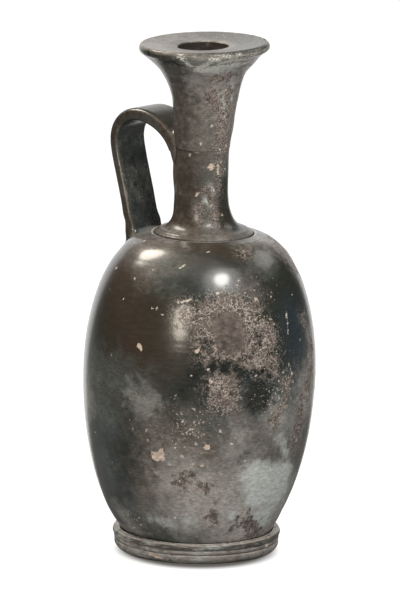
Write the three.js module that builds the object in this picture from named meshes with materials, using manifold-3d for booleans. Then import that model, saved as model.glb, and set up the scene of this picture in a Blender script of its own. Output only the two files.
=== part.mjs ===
// A black-gloss lekythos: a tall oil flask of fired clay, about 250 mm high.
// The potter threw the foot, body, neck and mouth one by one on the wheel, pulled the strap handle,
// and luted the leather-hard pieces together before firing. Each of those pieces is one solid here.
// Millimetres, +Z up. The origin is on the wheel axis, on the plane the foot stands on.
// The handle lies in the XZ plane, on the -X side.

import * as THREE from 'three';
import { mergeVertices } from 'three/addons/utils/BufferGeometryUtils.js';
import Module from 'manifold-3d';

const wasm = await Module();
wasm.setup();

// Clay joints
const SLIP = 0.3; // thickness of the luting slip between two fitted pieces

// Facets
const WHEEL_SEGMENTS = 48; // round the axis of a thrown piece
const LONG_STEPS = 11; // in a long curve of an outline
const SHORT_STEPS = 7; // in a small round
const STRAIGHT_DOWN = -90; // degrees, in an outline
const MERGE_DISTANCE = 1e-4; // corners closer than this are one

// Body: ovoid, thrown in one piece with its shoulder
const BASE_RADIUS = 36.6;
const BELLY_RADIUS = 56.7;
const BELLY_HEIGHT = 80.4; // widest point, above the body's own base
const BODY_HEIGHT = 148; // from its base to the edge of the neck's seat
const BODY_WALL = 4.5;
const BODY_FLOOR = 5;
const FLOOR_FILLET = 3;
const LOWER_SWELL = 13.3; // how far the lower wall leans out as it leaves the foot
const LOWER_SWELL_RISE = 19.6; // and how far it climbs while it does
const LOWER_FULLNESS = 32.8; // length of near-upright wall under the belly
const UPPER_FULLNESS = 31.1; // length of near-upright wall over the belly
const SHOULDER_RUN = 20.4; // width of the flatter shoulder round the neck
const SHOULDER_FALL = 3.1; // and its drop
const SEAT_DEPTH = 1; // the neck's collar is let into the shoulder by this much

// Foot: a thrown ring with a lower and an upper torus, which the body's base drops into
const FOOT_RING_WIDTH = 9; // width of the face that it stands on
const FOOT_LOWER_HEIGHT = 5;
const FOOT_UPPER_HEIGHT = 4.8;
const FOOT_LIP_HEIGHT = 1.3; // the lip stands this far above the body's base
const FOOT_LIP_CLEARANCE = 0.8; // groove left between the lip and the body
const FOOT_LIP_WIDTH = 2.8; // from the lip's inner edge to the widest point of the foot
const FOOT_LOWER_SETBACK = 0.9; // the lower torus is narrower than the upper one by this much
const FOOT_UNDERCUT = 2.1; // the resting face's edge lies in from the lower torus by this much
const FOOT_GROOVE_DEPTH = 0.8; // groove between the two tori
const FOOT_ROLL_WIDTH = 2.1; // the upper torus's round reaches in from its widest point by this much
const LOWER_TORUS_END = 50; // degrees above level where the lower torus turns in to the groove
const UPPER_TORUS_START = -60; // degrees: where the upper torus comes out of the groove
const UPPER_TORUS_END = 110; // degrees: and where it turns down inside the lip

// Neck: a tube with a low collar at its foot and a spigot at each end
const NECK_HEIGHT = 41; // from the shoulder to the seam with the mouth
const NECK_BORE_RADIUS = 8.6;
const NECK_WALL = 4.5; // at its waist
const NECK_TOP_SWELL = 0.15; // the top of the tube is wider than the waist by this much
const NECK_STRAIGHT = 16.5; // near-straight stretch of tube below the seam
const COLLAR_RADIUS = 25.3;
const COLLAR_THICKNESS = 1.5; // at its edge
const COLLAR_SLOPE_RUN = 4.3; // the collar's top climbs gently for this far
const COLLAR_SLOPE_RISE = 2;
const COLLAR_SWEEP_RUN = 7.2; // hollow curve from collar to tube: how far it runs in
const COLLAR_SWEEP_RISE = 1.4; // and climbs before it turns up
const COLLAR_SWEEP_HEIGHT = 12.7; // length of upright curve that ends it
const SPIGOT_STEP = 2.2; // the spigots are thinner than the neck's wall by this much
const LOWER_SPIGOT_LENGTH = 4;
const UPPER_SPIGOT_LENGTH = 5.7;

// Mouth: a thick trumpet with a nearly flat top
const MOUTH_HEIGHT = 52.5; // from the seam to the top of the lip
const SEAM_STEP = 0.3; // the mouth's lower edge stands this proud of the neck
const THROAT_SWELL = 1.25; // the throat is wider than the lower edge by this much
const THROAT_RISE = 16; // above the seam
const THROAT_EASE = 7; // softness of the step up to the throat
const FLARE_LEAN = 0.9; // how far the flare has leant out after its first stretch
const FLARE_STRETCH = 16.3; // length of that first, near-upright stretch
const FLARE_SPREAD = 11.3; // last stretch of the flare, measured in from the lip
const FLARE_CLIMB = 6.8; // and how far it climbs to the lip
const LIP_RADIUS = 31.6;
const LIP_THICKNESS = 3.6;
const LIP_ROUND_START = -52; // degrees: where the round of the lip leaves the flare
const LIP_ROUND_END = 95; // degrees: and where it reaches the top face
const DISH_DEPTH = 1.3; // fall of the top face from the lip to the hole
const DISH_INNER_RADIUS = 15;
const FUNNEL_TURN = 4.4; // the top face turns down into the hole over this much of its width
const FUNNEL_TURN_DROP = 0.6;
const FUNNEL_TAPER = 21; // length of the funnel's near-straight lower part
const BORE_STRAIGHT = 11; // straight bore between the funnel and the neck's spigot

// Handle: a pulled strap, oval in section
const HANDLE_WIDTH = 22;
const HANDLE_THICKNESS = 5.4;
const HANDLE_UPPER_ROOT_WIDTH = 23.2;
const HANDLE_UPPER_ROOT_THICKNESS = 6.4;
const HANDLE_LOWER_ROOT_WIDTH = 26;
const HANDLE_LOWER_ROOT_THICKNESS = 7.6;
const HANDLE_UPPER_SWELL_LENGTH = 26; // the strap thickens towards the neck over this length
const HANDLE_LOWER_SWELL_LENGTH = 22; // and spreads towards the shoulder over this one
const HANDLE_CROWN_RADIUS = 35; // the arch is highest here, from the axis
const HANDLE_CROWN_RISE = 13.9; // centreline at the crown, above the seam
const HANDLE_REACH = 50.95; // centreline at its widest, from the axis
const HANDLE_BEND_DROP = 14.6; // from the crown down to the widest point
const HANDLE_LANDING_RADIUS = 37.6; // where the strap meets the shoulder
const HANDLE_NECK_DROP = 9.5; // the strap starts this far below the seam
const HANDLE_NECK_TONGUE = 7.75; // length drawn into the neck before it is cut to fit
const HANDLE_SHOULDER_TONGUE = 3; // length drawn into the shoulder before it is cut to fit
const ARCH_RISE_RUN = 3.5; // the arch's curve at the neck: how far out
const ARCH_RISE = 17.2; // and how far up its handle lies
const ARCH_CROWN_RUN = 9.5; // level stretch before the crown
const BEND_CROWN_RUN = 9.2; // level stretch after the crown
const BEND_UPRIGHT = 8.5; // upright stretch above the widest point
const LEG_UPRIGHT = 9; // upright stretch below the widest point
const LEG_LANDING_RUN = 3; // the leg's curve at the shoulder: how far out
const LEG_LANDING_RISE = 18.5; // and how far up its handle lies
const HANDLE_STEPS = 12; // in each of its three curves
const HANDLE_SECTION_SIDES = 18;
const SECTION_EDGE_FULLNESS = 0.65; // 1 is an ellipse, less is squarer
const SECTION_FACE_FULLNESS = 0.85;

const footTop = FOOT_LOWER_HEIGHT + FOOT_UPPER_HEIGHT;
const bodyBase = footTop - FOOT_LIP_HEIGHT;
const bellyLevel = bodyBase + BELLY_HEIGHT;
const shoulderLevel = bodyBase + BODY_HEIGHT;
const seatLevel = shoulderLevel - SEAT_DEPTH;
const seamLevel = shoulderLevel + NECK_HEIGHT;
const topLevel = seamLevel + MOUTH_HEIGHT;
const neckRadius = NECK_BORE_RADIUS + NECK_WALL;
const neckTopRadius = neckRadius + NECK_TOP_SWELL;
const spigotRadius = neckRadius - SPIGOT_STEP;
const seamRadius = neckTopRadius + SEAM_STEP;

const clay = { metalness: 0, side: THREE.FrontSide };
const blackGloss = new THREE.MeshStandardMaterial({ ...clay, color: '#2f2b27', roughness: 0.3 });
const wornGloss = new THREE.MeshStandardMaterial({ ...clay, color: '#4a443e', roughness: 0.45 });
const darkGloss = new THREE.MeshStandardMaterial({ ...clay, color: '#24241f', roughness: 0.35 });

const point = (radius, height) => new THREE.Vector2(radius, height);

// A smooth stretch of outline from start to end, drawn towards its two handles
function curve(start, leave, arrive, end, steps) {
  return new THREE.CubicBezierCurve(start, leave, arrive, end).getPoints(steps);
}

// Part of an ellipse round centre, from one angle to another in degrees (0 is outward, 90 is up)
function arc(centre, radiusX, radiusY, fromDegrees, toDegrees, steps) {
  const points = [];
  for (let i = 0; i <= steps; i++) {
    const angle = THREE.MathUtils.degToRad(fromDegrees + ((toDegrees - fromDegrees) * i) / steps);
    points.push(point(centre.x + radiusX * Math.cos(angle), centre.y + radiusY * Math.sin(angle)));
  }
  return points;
}

// The outline that lies inside a given one, a wall's thickness away
function insetOutline(outline, distance) {
  return outline.map((p, i) => {
    const before = outline[Math.max(i - 1, 0)];
    const after = outline[Math.min(i + 1, outline.length - 1)];
    const along = after.clone().sub(before).normalize();
    return point(p.x - along.y * distance, p.y + along.x * distance);
  });
}

// Turns an outline, listed anticlockwise with the axis on its left, into a thrown solid
function throwOnWheel(outline) {
  const geometry = new THREE.LatheGeometry(outline, WHEEL_SEGMENTS);
  geometry.rotateX(Math.PI / 2);
  return geometry;
}

function ring(outline) {
  return throwOnWheel([...outline, outline[0].clone()]);
}

// Radius of an outline at a height, found on the stretch that crosses it
function radiusAt(outline, height) {
  for (let i = 1; i < outline.length; i++) {
    const [a, b] = [outline[i - 1], outline[i]];
    if ((a.y - height) * (b.y - height) <= 0 && a.y !== b.y) {
      return THREE.MathUtils.lerp(a.x, b.x, (height - a.y) / (b.y - a.y));
    }
  }
  return outline[0].x;
}

// Height of an outline at a radius
function heightAt(outline, radius) {
  return radiusAt(outline.map((p) => point(p.y, p.x)), radius);
}

// Outside of the body from its base up to the belly
function lowerBodyWall() {
  const base = point(BASE_RADIUS, bodyBase);
  const belly = point(BELLY_RADIUS, bellyLevel);
  return curve(
    base,
    point(base.x + LOWER_SWELL, base.y + LOWER_SWELL_RISE),
    point(belly.x, belly.y - LOWER_FULLNESS),
    belly,
    LONG_STEPS,
  );
}

// Outside of the body from the belly up to the edge of the neck's seat
function upperBodyWall() {
  const belly = point(BELLY_RADIUS, bellyLevel);
  const seatEdge = point(COLLAR_RADIUS + SLIP, shoulderLevel);
  return curve(
    belly,
    point(belly.x, belly.y + UPPER_FULLNESS),
    point(seatEdge.x + SHOULDER_RUN, seatEdge.y - SHOULDER_FALL),
    seatEdge,
    LONG_STEPS,
  );
}

function bodyWall() {
  return [...lowerBodyWall(), ...upperBodyWall().slice(1)];
}

function bodyOutline() {
  const wall = bodyWall();
  const floor = bodyBase + BODY_FLOOR;
  const opening = spigotRadius + SLIP;
  const roof = seatLevel - BODY_WALL;
  const inside = insetOutline(wall, BODY_WALL).filter((p) => p.y > floor + FLOOR_FILLET);
  return [
    point(0, bodyBase),
    ...wall,
    point(COLLAR_RADIUS + SLIP, seatLevel),
    point(opening, seatLevel),
    point(opening, roof),
    ...inside.reverse().filter((p) => p.x > opening + BODY_WALL && p.y < roof),
    point(inside[inside.length - 1].x - FLOOR_FILLET, floor),
    point(0, floor),
  ];
}

function footOutline() {
  const lipInner = radiusAt(lowerBodyWall(), footTop) + FOOT_LIP_CLEARANCE;
  const upperRadius = lipInner + FOOT_LIP_WIDTH;
  const lowerRadius = upperRadius - FOOT_LOWER_SETBACK;
  const restRadius = lowerRadius - FOOT_UNDERCUT;
  const innerRadius = restRadius - FOOT_RING_WIDTH;
  const [lowerHalf, upperHalf] = [FOOT_LOWER_HEIGHT / 2, FOOT_UPPER_HEIGHT / 2];
  const restCentre = point(restRadius, lowerHalf);
  const rollCentre = point(upperRadius - FOOT_ROLL_WIDTH, FOOT_LOWER_HEIGHT + upperHalf);
  return [
    point(innerRadius, 0),
    ...arc(restCentre, FOOT_UNDERCUT, lowerHalf, STRAIGHT_DOWN, LOWER_TORUS_END, SHORT_STEPS),
    point(lowerRadius - FOOT_GROOVE_DEPTH, FOOT_LOWER_HEIGHT),
    ...arc(rollCentre, FOOT_ROLL_WIDTH, upperHalf, UPPER_TORUS_START, UPPER_TORUS_END, SHORT_STEPS),
    point(lipInner, bodyBase),
    point(innerRadius, bodyBase),
  ];
}

// Outside of the neck, from the edge of its collar up to the seam
function neckWall() {
  const collarTop = point(COLLAR_RADIUS, seatLevel + COLLAR_THICKNESS);
  const sweepStart = point(collarTop.x - COLLAR_SLOPE_RUN, collarTop.y + COLLAR_SLOPE_RISE);
  const waist = point(neckRadius, seamLevel - NECK_STRAIGHT);
  const sweep = curve(
    sweepStart,
    point(sweepStart.x - COLLAR_SWEEP_RUN, sweepStart.y + COLLAR_SWEEP_RISE),
    point(waist.x, waist.y - COLLAR_SWEEP_HEIGHT),
    waist,
    LONG_STEPS,
  );
  return [point(COLLAR_RADIUS, seatLevel), collarTop, ...sweep, point(neckTopRadius, seamLevel)];
}

function neckOutline() {
  const spigotFoot = seatLevel - LOWER_SPIGOT_LENGTH;
  const spigotTop = seamLevel + UPPER_SPIGOT_LENGTH;
  return [
    point(NECK_BORE_RADIUS, spigotFoot),
    point(spigotRadius, spigotFoot),
    point(spigotRadius, seatLevel),
    ...neckWall(),
    point(spigotRadius, seamLevel),
    point(spigotRadius, spigotTop),
    point(NECK_BORE_RADIUS, spigotTop),
  ];
}

// Outside of the mouth, from the seam up to the round of the lip
function mouthWall() {
  const edge = point(seamRadius, seamLevel);
  const throat = point(seamRadius + THROAT_SWELL, seamLevel + THROAT_RISE);
  const lipHalf = LIP_THICKNESS / 2;
  const lipCentre = point(LIP_RADIUS - lipHalf, topLevel - lipHalf);
  const lip = arc(lipCentre, lipHalf, lipHalf, LIP_ROUND_START, LIP_ROUND_END, SHORT_STEPS);
  const step = curve(
    edge,
    point(edge.x, edge.y + THROAT_EASE),
    point(throat.x, throat.y - THROAT_EASE),
    throat,
    SHORT_STEPS,
  );
  const flare = curve(
    throat,
    point(throat.x + FLARE_LEAN, throat.y + FLARE_STRETCH),
    point(lip[0].x - FLARE_SPREAD, lip[0].y - FLARE_CLIMB),
    lip[0],
    LONG_STEPS,
  );
  return [...step, ...flare.slice(1), ...lip.slice(1)];
}

function mouthOutline() {
  const dishEdge = point(DISH_INNER_RADIUS, topLevel - DISH_DEPTH);
  const socketRadius = spigotRadius + SLIP;
  const socketTop = seamLevel + UPPER_SPIGOT_LENGTH + SLIP;
  const straight = point(NECK_BORE_RADIUS, socketTop + BORE_STRAIGHT);
  const funnel = curve(
    dishEdge,
    point(dishEdge.x - FUNNEL_TURN, dishEdge.y - FUNNEL_TURN_DROP),
    point(straight.x, straight.y + FUNNEL_TAPER),
    straight,
    LONG_STEPS,
  );
  return [
    ...mouthWall(),
    ...funnel,
    point(NECK_BORE_RADIUS, socketTop),
    point(socketRadius, socketTop),
    point(socketRadius, seamLevel),
  ];
}

// Centreline of the strap as radius and height: out from the neck, over the crown, down to the shoulder
function handleCentreline() {
  const root = point(neckTopRadius - HANDLE_NECK_TONGUE, seamLevel - HANDLE_NECK_DROP);
  const crown = point(HANDLE_CROWN_RADIUS, seamLevel + HANDLE_CROWN_RISE);
  const widest = point(HANDLE_REACH, crown.y - HANDLE_BEND_DROP);
  const shoulder = heightAt(upperBodyWall(), HANDLE_LANDING_RADIUS);
  const landing = point(HANDLE_LANDING_RADIUS, shoulder - HANDLE_SHOULDER_TONGUE);
  const arch = curve(
    root,
    point(root.x + ARCH_RISE_RUN, root.y + ARCH_RISE),
    point(crown.x - ARCH_CROWN_RUN, crown.y),
    crown,
    HANDLE_STEPS,
  );
  const bend = curve(
    crown,
    point(crown.x + BEND_CROWN_RUN, crown.y),
    point(widest.x, widest.y + BEND_UPRIGHT),
    widest,
    HANDLE_STEPS,
  );
  const leg = curve(
    widest,
    point(widest.x, widest.y - LEG_UPRIGHT),
    point(landing.x + LEG_LANDING_RUN, landing.y + LEG_LANDING_RISE),
    landing,
    HANDLE_STEPS,
  );
  return [...arch, ...bend.slice(1), ...leg.slice(1)];
}

// Strap size at a point of the centreline: it swells towards its two roots
function handleSize(lengthFromNeck, lengthToShoulder) {
  const upper = 1 - THREE.MathUtils.smoothstep(lengthFromNeck, HANDLE_NECK_TONGUE, HANDLE_UPPER_SWELL_LENGTH);
  const lower = 1 - THREE.MathUtils.smoothstep(lengthToShoulder, 0, HANDLE_LOWER_SWELL_LENGTH);
  return {
    width:
      HANDLE_WIDTH +
      (HANDLE_UPPER_ROOT_WIDTH - HANDLE_WIDTH) * upper +
      (HANDLE_LOWER_ROOT_WIDTH - HANDLE_WIDTH) * lower,
    thickness:
      HANDLE_THICKNESS +
      (HANDLE_UPPER_ROOT_THICKNESS - HANDLE_THICKNESS) * upper +
      (HANDLE_LOWER_ROOT_THICKNESS - HANDLE_THICKNESS) * lower,
  };
}

// Corner k of the strap's oval section, as a share of half its width and half its thickness
function sectionCorner(k) {
  const angle = (2 * Math.PI * k) / HANDLE_SECTION_SIDES;
  const fuller = (share, fullness) => Math.sign(share) * Math.abs(share) ** fullness;
  return [fuller(Math.cos(angle), SECTION_EDGE_FULLNESS), fuller(Math.sin(angle), SECTION_FACE_FULLNESS)];
}

// Sweeps the section along the centreline, across the XZ plane, and closes both ends
function strapGeometry(centreline) {
  const lengths = [0];
  for (let i = 1; i < centreline.length; i++) {
    lengths.push(lengths[i - 1] + centreline[i].distanceTo(centreline[i - 1]));
  }
  const total = lengths[lengths.length - 1];
  const sides = HANDLE_SECTION_SIDES;
  const positions = [];
  centreline.forEach((p, i) => {
    const before = centreline[Math.max(i - 1, 0)];
    const after = centreline[Math.min(i + 1, centreline.length - 1)];
    const along = after.clone().sub(before).normalize();
    const { width, thickness } = handleSize(lengths[i], total - lengths[i]);
    for (let k = 0; k < sides; k++) {
      const [shareAcross, shareThrough] = sectionCorner(k);
      const through = (shareThrough * thickness) / 2;
      positions.push(-(p.x - along.y * through), (shareAcross * width) / 2, p.y + along.x * through);
    }
  });
  const index = [];
  for (let i = 0; i < centreline.length - 1; i++) {
    for (let k = 0; k < sides; k++) {
      const [a, b] = [i * sides + k, i * sides + ((k + 1) % sides)];
      index.push(a, a + sides, b, b, a + sides, b + sides);
    }
  }
  const last = (centreline.length - 1) * sides;
  for (let k = 1; k < sides - 1; k++) {
    index.push(0, k, k + 1);
    index.push(last, last + k + 1, last + k);
  }
  const geometry = new THREE.BufferGeometry();
  geometry.setAttribute('position', new THREE.Float32BufferAttribute(positions, 3));
  geometry.setIndex(index);
  return geometry;
}

function toSolid(geometry) {
  const bare = geometry.clone();
  bare.deleteAttribute('normal');
  bare.deleteAttribute('uv');
  const merged = mergeVertices(bare, MERGE_DISTANCE);
  const vertProperties = new Float32Array(merged.attributes.position.array);
  const triVerts = new Uint32Array(merged.index.array);
  return new wasm.Manifold(new wasm.Mesh({ numProp: 3, vertProperties, triVerts }));
}

function toGeometry(solid) {
  const { vertProperties, triVerts } = solid.getMesh();
  const geometry = new THREE.BufferGeometry();
  geometry.setAttribute('position', new THREE.BufferAttribute(vertProperties, 3));
  geometry.setIndex(new THREE.BufferAttribute(triVerts, 1));
  geometry.computeVertexNormals();
  return geometry;
}

// The filled shape of a thrown piece's outside, a slip's thickness larger all over
function filled(wall) {
  const skin = insetOutline(wall, -SLIP);
  return throwOnWheel([point(0, skin[0].y), ...skin, point(0, skin[skin.length - 1].y)]);
}

// The strap with both roots cut to fit the pieces that they are luted to
function handleGeometry() {
  return toGeometry(
    toSolid(strapGeometry(handleCentreline()))
      .subtract(toSolid(filled(mouthWall())))
      .subtract(toSolid(filled(neckWall())))
      .subtract(toSolid(filled(bodyWall()))),
  );
}

function named(name, geometry, material) {
  const mesh = new THREE.Mesh(geometry, material);
  mesh.name = name;
  return mesh;
}

const lekythos = new THREE.Group();
lekythos.add(
  named('foot', ring(footOutline()), wornGloss),
  named('body', throwOnWheel(bodyOutline()), blackGloss),
  named('neck', ring(neckOutline()), blackGloss),
  named('mouth', ring(mouthOutline()), wornGloss),
  named('handle', handleGeometry(), darkGloss),
);

export default lekythos;
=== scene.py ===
"""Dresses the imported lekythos: a black-gloss oil flask, thrown in four pieces, with a pulled handle."""

import math
import random

import bpy
import numpy as np
from mathutils import Matrix, Vector, noise
from mathutils.bvhtree import BVHTree


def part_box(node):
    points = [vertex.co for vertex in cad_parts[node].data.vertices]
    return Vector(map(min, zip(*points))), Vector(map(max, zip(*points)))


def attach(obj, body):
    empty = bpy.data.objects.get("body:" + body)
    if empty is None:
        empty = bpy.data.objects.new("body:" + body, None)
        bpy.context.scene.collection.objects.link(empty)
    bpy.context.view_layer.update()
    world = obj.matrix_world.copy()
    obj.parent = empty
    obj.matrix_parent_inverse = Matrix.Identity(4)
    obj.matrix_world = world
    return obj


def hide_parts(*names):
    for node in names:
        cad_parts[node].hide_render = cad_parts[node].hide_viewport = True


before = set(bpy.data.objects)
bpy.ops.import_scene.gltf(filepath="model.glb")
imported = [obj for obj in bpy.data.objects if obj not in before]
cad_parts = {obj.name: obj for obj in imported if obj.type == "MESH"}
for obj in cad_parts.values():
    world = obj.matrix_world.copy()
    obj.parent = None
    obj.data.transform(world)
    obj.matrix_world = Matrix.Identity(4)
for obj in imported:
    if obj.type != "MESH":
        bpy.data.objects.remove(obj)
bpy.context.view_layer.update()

# Outlines and marks are in millimetres, from the wheel's axis and the table; meshes are in metres
MM = 0.001

# The photograph in pixels, and the camera that took it: lengths in metres, angles in degrees
PHOTO_WIDTH = 400
PHOTO_HEIGHT = 605
CAMERA_AZIMUTH = 43
CAMERA_DISTANCE = 3.658
CAMERA_HEIGHT = 0.895
CAMERA_AIM = Vector((-0.0003, -0.0003, 0.1216))
CAMERA_ROLL = 1.06
# The sensor's long side in mm, and the focal length in the photograph's pixels
SENSOR = 36
FOCAL_PIXELS = 7676
CLIP_NEAR = 0.1
CLIP_FAR = 60

# Main sizes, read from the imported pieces
foot_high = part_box("foot")[1] / MM
body_low, body_high = [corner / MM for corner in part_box("body")]
neck_low, neck_high = [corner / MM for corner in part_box("neck")]
mouth_low, mouth_high = [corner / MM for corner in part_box("mouth")]

BELLY_RADIUS = body_high.x
BODY_BASE = body_low.z
SHOULDER_LEVEL = body_high.z
LIP_RADIUS = mouth_high.x
TOP_LEVEL = mouth_high.z
SEAM_LEVEL = mouth_low.z
FOOT_RADIUS = foot_high.x
FOOT_TOP = foot_high.z

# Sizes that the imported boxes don't show. The slip is the gap that the pieces are luted together with.
SLIP = 0.3
BASE_RADIUS = 36.3
BELLY_LEVEL = BODY_BASE + 80.4
SEAT_EDGE = neck_high.x + SLIP
SEAT_LEVEL = SHOULDER_LEVEL - 1
BODY_WALL = 4.5
BODY_FLOOR = 5
NECK_RADIUS = 13.1
NECK_BORE = 8.6
SPIGOT_RADIUS = 10.9
COLLAR_HEIGHT = 1.7
SEAM_TOP = SEAM_LEVEL + 1.2
SOCKET_RADIUS = SPIGOT_RADIUS + SLIP
SOCKET_TOP = neck_high.z + SLIP

# The groove that is scraped round the collar
GROOVE_OUTER = 24.4
GROOVE_INNER = 24.05
GROOVE_ROUND = 0.35
# Fine lines that the tool left round the shoulder and the collar: their radius and depth
SHOULDER_LINES = [(25.6, -0.1), (26.4, 0.14), (27.9, 0.12), (29.8, 0.07)]
SHOULDER_LINE_WIDTH = 0.35
COLLAR_LINES = [(22.5, 0.12), (20.6, 0.08)]
COLLAR_LINE_WIDTH = 0.3

# The foot stands on a flat ring, this far inside its widest and this wide
REST_INSET = 2.45
REST_WIDTH = 9
# Its lip stands this far off the body, and its inside this close under the body's base
LIP_CLEARANCE = 0.2
BASE_CLEARANCE = 0.02
# Bands of the foot from the table up: how far each crest stands inside the widest, its level, half its
# depth and half its height, its first and last angle in degrees, and its number of steps
FOOT_BANDS = {
    "leaning band": (0.75, 3, 5, 4, -47, 6, 18),
    "its upper edge": (0.77, 3.75, 0.38, 0.4, 0, 95, 6),
    "shallow middle band": (0.6, 5.6, 0.9, 1.25, -60, 58, 12),
    "round torus": (0, 8.2, 1.0, 1.5, -68, 88, 20),
}
# The grooves under the middle band and under the torus: how far inside the widest, and their level
FOOT_GROOVES = [(1.5, 4.3), (1.35, 6.78)]

HANDLE_WIDTH = 20.8
HANDLE_THICKNESS = 5.7
HANDLE_CORNER = 2.4

# Steps along the outlines of the body's wall, and segments of the pieces round the wheel's axis
LOWER_STEPS = 88
UPPER_STEPS = 112
BODY_SEGMENTS = 360
NECK_SEGMENTS = 320
FINE_SEGMENTS = 480


def rgb(hex_colour):
    """A colour written in sRGB hex, as the linear values that Blender's nodes take."""
    shares = [int(hex_colour[i:i + 2], 16) / 255 for i in (1, 3, 5)]
    return [s / 12.92 if s <= 0.04045 else ((s + 0.055) / 1.055) ** 2.4 for s in shares] + [1]


def smooth(low, high, value):
    """0 at low and beyond it, 1 at high and beyond it, and an easy step between."""
    share = np.clip((np.asarray(value, dtype=float) - low) / (high - low), 0, 1)
    return share * share * (3 - 2 * share)


def bell(value, middle, width):
    """1 at the middle, falling to nothing within about twice the width on both sides."""
    return np.exp(-((value - middle) / width) ** 2)


def curve(start, leave, arrive, end, steps):
    """A smooth stretch of outline; leave and arrive are how far its handles stand from start and end."""
    t = np.linspace(0, 1, steps + 1)[:, None]
    start, leave, arrive, end = [np.array(p, dtype=float) for p in (start, leave, arrive, end)]
    near_start = (1 - t) ** 3 * start + 3 * (1 - t) ** 2 * t * (start + leave)
    return near_start + 3 * (1 - t) * t ** 2 * (end + arrive) + t ** 3 * end


def arc(centre, radius_x, radius_y, first, last, steps):
    """Part of an ellipse; 0 degrees is outward and 90 is up."""
    angles = np.radians(np.linspace(first, last, steps + 1))
    return np.stack([centre[0] + radius_x * np.cos(angles), centre[1] + radius_y * np.sin(angles)], axis=1)


def line(start, end, steps):
    """A straight stretch of outline, without its last point."""
    return np.linspace(start, end, steps, endpoint=False)


def inset(outline, distance):
    """The outline that lies a wall's thickness inside."""
    along = np.gradient(outline, axis=0)
    along /= np.linalg.norm(along, axis=1)[:, None]
    return outline + distance * np.stack([-along[:, 1], along[:, 0]], axis=1)


# Outlines of the pieces

def lower_body_wall(steps):
    """The body's outside from its base up to the belly."""
    return curve((BASE_RADIUS, BODY_BASE), (13.3, 19.6), (0, -32.8), (BELLY_RADIUS, BELLY_LEVEL), steps)


def upper_body_wall(steps):
    """The body's outside from the belly up to the neck's seat."""
    return curve((BELLY_RADIUS, BELLY_LEVEL), (0, 31.1), (20.4, -3.1), (SEAT_EDGE, SHOULDER_LEVEL), steps)


def body_outline():
    """The base, the wall with its fine tool lines, the opening, and the hollow inside."""
    fine_from, fine_step, join = 32, 0.28, 0.5
    base_round, base_rim, floor_round = 0.4, 3, 3
    upper = upper_body_wall(UPPER_STEPS)
    radii = np.arange(fine_from, GROOVE_OUTER + GROOVE_ROUND, -fine_step)
    rings = np.stack([radii, np.interp(radii, *upper[::-1].T)], axis=1)
    for radius, depth in SHOULDER_LINES:
        rings[:, 1] -= depth * bell(radii, radius, SHOULDER_LINE_WIDTH)
    coarse = upper[upper[:, 0] > fine_from + join]
    wall = np.concatenate([lower_body_wall(LOWER_STEPS)[:-1], coarse, rings])
    groove_centre = (GROOVE_OUTER + GROOVE_ROUND, SHOULDER_LEVEL - GROOVE_ROUND)
    roof = SEAT_LEVEL - BODY_WALL
    floor = BODY_BASE + BODY_FLOOR
    inside = inset(np.concatenate([lower_body_wall(10)[:-1], upper_body_wall(10)]), BODY_WALL)
    inside = inside[(inside[:, 1] > floor + floor_round)][::-1]
    inside = inside[(inside[:, 0] > SOCKET_RADIUS + BODY_WALL) & (inside[:, 1] < roof)]
    return np.concatenate([
        [(0, BODY_BASE), (BASE_RADIUS - base_rim, BODY_BASE)],
        arc((BASE_RADIUS - base_round, BODY_BASE + base_round), base_round, base_round, -90, -20, 3),
        wall[1:],
        arc(groove_centre, GROOVE_ROUND, GROOVE_ROUND, 90, 180, 4),
        [(GROOVE_OUTER, SEAT_LEVEL), (SOCKET_RADIUS, SEAT_LEVEL), (SOCKET_RADIUS, roof)],
        inside,
        [(inside[-1][0] - floor_round, floor), (0, floor)],
    ])


def foot_outline():
    """A ring with a round torus on top, a shallow band in the middle and a leaning band above the table."""
    lip_radius = np.interp(FOOT_TOP, *lower_body_wall(LOWER_STEPS).T[::-1]) + LIP_CLEARANCE
    lip_round, lip_drop, lip_back = 0.5, 0.4, 0.8
    rest_radius = FOOT_RADIUS - REST_INSET
    inner_radius = rest_radius - REST_WIDTH
    inner_top = BODY_BASE - BASE_CLEARANCE
    leaning, edge, middle, torus = [
        arc((FOOT_RADIUS - back - depth, level), depth, height, first, last, steps)
        for back, level, depth, height, first, last, steps in FOOT_BANDS.values()
    ]
    low_groove, high_groove = [[(FOOT_RADIUS - back, level)] for back, level in FOOT_GROOVES]
    return np.concatenate([
        line((inner_radius, 0), (rest_radius, 0), 8),
        leaning, edge, low_groove, middle, high_groove, torus,
        arc((lip_radius + lip_round, FOOT_TOP - lip_round), lip_round, lip_round, 20, 160, 8),
        [(lip_radius - lip_round, FOOT_TOP - lip_drop)],
        line((lip_radius - lip_back, inner_top), (inner_radius, inner_top), 6),
        line((inner_radius, inner_top), (inner_radius, 0), 5),
    ])


# Rows of the foot's outline that show from outside
FOOT_SHOWN = slice(8, 68)


def neck_wall(steps):
    """The neck's outside: the collar's slope, the sweep up to the waist, and the shaft up to the seam."""
    collar_top = (GROOVE_INNER, SEAT_LEVEL + COLLAR_HEIGHT)
    sweep_foot = (21, SEAT_LEVEL + 3.5)
    waist = (NECK_RADIUS, SEAM_LEVEL - 16.5)
    shaft_top = (NECK_RADIUS + 0.15, SEAM_TOP - 0.2)
    slope = curve(collar_top, (-1.15, 0.75), (1, -0.25), sweep_foot, 14)
    for radius, depth in COLLAR_LINES:
        slope[:, 1] -= depth * bell(slope[:, 0], radius, COLLAR_LINE_WIDTH)
    sweep = curve(sweep_foot, (-7.2, 1.4), (0, -12.7), waist, steps)
    shaft = curve(waist, (0, 7.5), (0, -7), shaft_top, 26)
    return np.concatenate([slope[:-1], sweep[:-1], shaft])


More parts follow.
